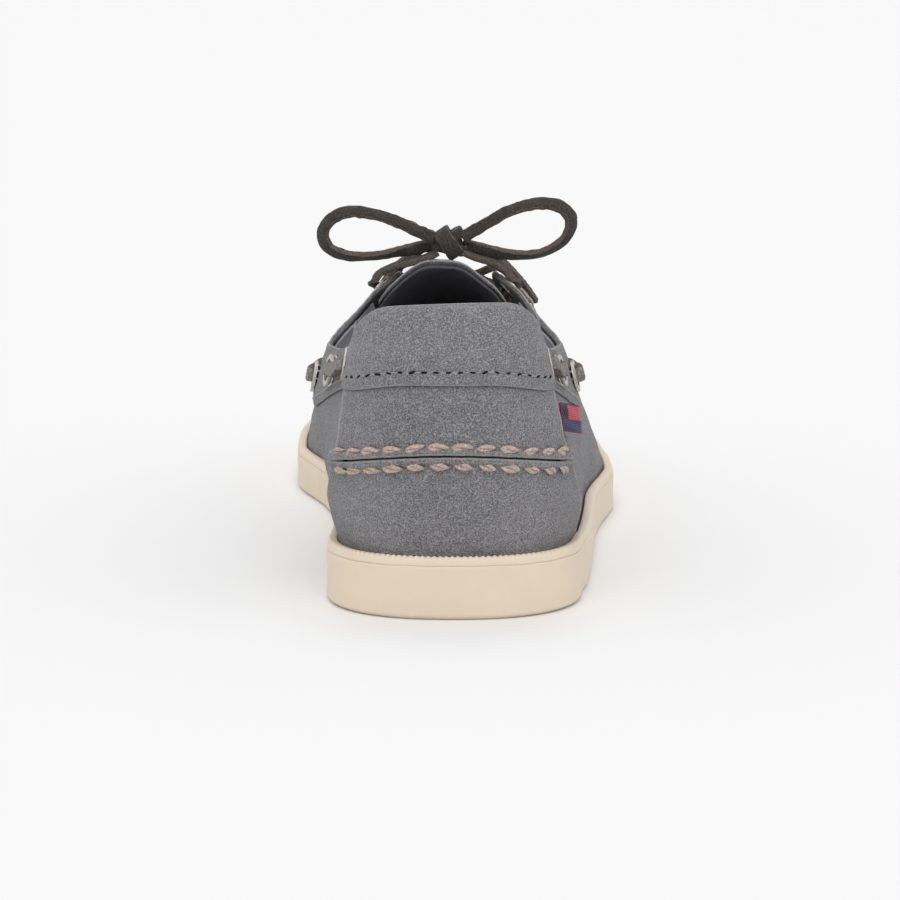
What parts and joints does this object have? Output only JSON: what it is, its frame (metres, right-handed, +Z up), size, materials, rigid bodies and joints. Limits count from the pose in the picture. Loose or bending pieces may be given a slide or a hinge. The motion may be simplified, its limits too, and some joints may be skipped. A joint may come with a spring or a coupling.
{
  "type": "deck shoe",
  "caption": "Low hand-sewn suede deck shoe for the right foot, with a moulded rubber cup sole, a raised toe apron and a leather thong laced round the collar and tied in a bow.",
  "frame": {"origin": "on the ground under the middle of the shoe's length and width, measured without the free loops and ends of the thong", "axes": "+Y to the toe, +X to the outer (lateral) side of this right shoe, +Z up"},
  "size_m": [0.1042, 0.2992, 0.1044],
  "materials": {
    "suede": "napped suede, matt",
    "lining_leather": "matt dark lining",
    "footbed_leather": "matt dark sock",
    "board": "pressed fibre board",
    "rubber_sole": "cream moulded rubber, satin",
    "thong_leather": "oiled rawhide thong, cut edges",
    "waxed_thread": "thick waxed thread",
    "fine_thread": "machine thread",
    "eyelet_metal": "brushed nickel",
    "woven_label": "plain woven tape, red and navy"
  },
  "bodies": {
    "shoe": {"outsole": "rubber_sole", "insole_board": "board", "heel_stiffener": "board", "footbed": "footbed_leather", "heel_panel": "suede", "heel_upper_panel": "suede", "quarter_medial": "suede", "quarter_lateral": "suede", "collar_side_medial": "suede", "collar_side_lateral": "suede", "collar_band": "suede", "vamp": "suede", "apron": "suede", "quarter_lining_medial": "lining_leather", "quarter_lining_lateral": "lining_leather", "heel_lining": "lining_leather", "vamp_lining": "lining_leather", "lace": "thong_leather", "lace_knot": "thong_leather", "bow_loop_medial": "thong_leather", "bow_loop_lateral": "thong_leather", "lace_end_medial": "thong_leather", "lace_end_lateral": "thong_leather", "ridge_thread_upper": "waxed_thread", "ridge_thread_lower": "waxed_thread", "apron_thread": "waxed_thread", "collar_thread": "fine_thread", "collar_thread_medial": "fine_thread", "collar_thread_lateral": "fine_thread", "eyelet_heel_medial": "eyelet_metal", "eyelet_rear_medial": "eyelet_metal", "eyelet_middle_medial": "eyelet_metal", "eyelet_side_medial": "eyelet_metal", "eyelet_lower_medial": "eyelet_metal", "eyelet_upper_medial": "eyelet_metal", "eyelet_heel_lateral": "eyelet_metal", "eyelet_rear_lateral": "eyelet_metal", "eyelet_middle_lateral": "eyelet_metal", "eyelet_side_lateral": "eyelet_metal", "eyelet_lower_lateral": "eyelet_metal", "eyelet_upper_lateral": "eyelet_metal"},
    "tongue": {"tongue": "suede"},
    "label": {"label": "woven_label"}
  },
  "joints": [
    {"name": "tongue_fold", "type": "hinge", "parent": "shoe", "child": "tongue", "pos_m": [0, 0.01557, 0.0678], "axis": [1, 0, 0], "range_deg": [0, 12], "stiffness_Nm_per_rad": 0.1},
    {"name": "label_fold", "type": "hinge", "parent": "shoe", "child": "label", "pos_m": [0.03042, -0.12769, 0.0538], "axis": [0.1238, -0.3688, -0.9212], "range_deg": [0, 45], "stiffness_Nm_per_rad": 0.001}
  ]
}
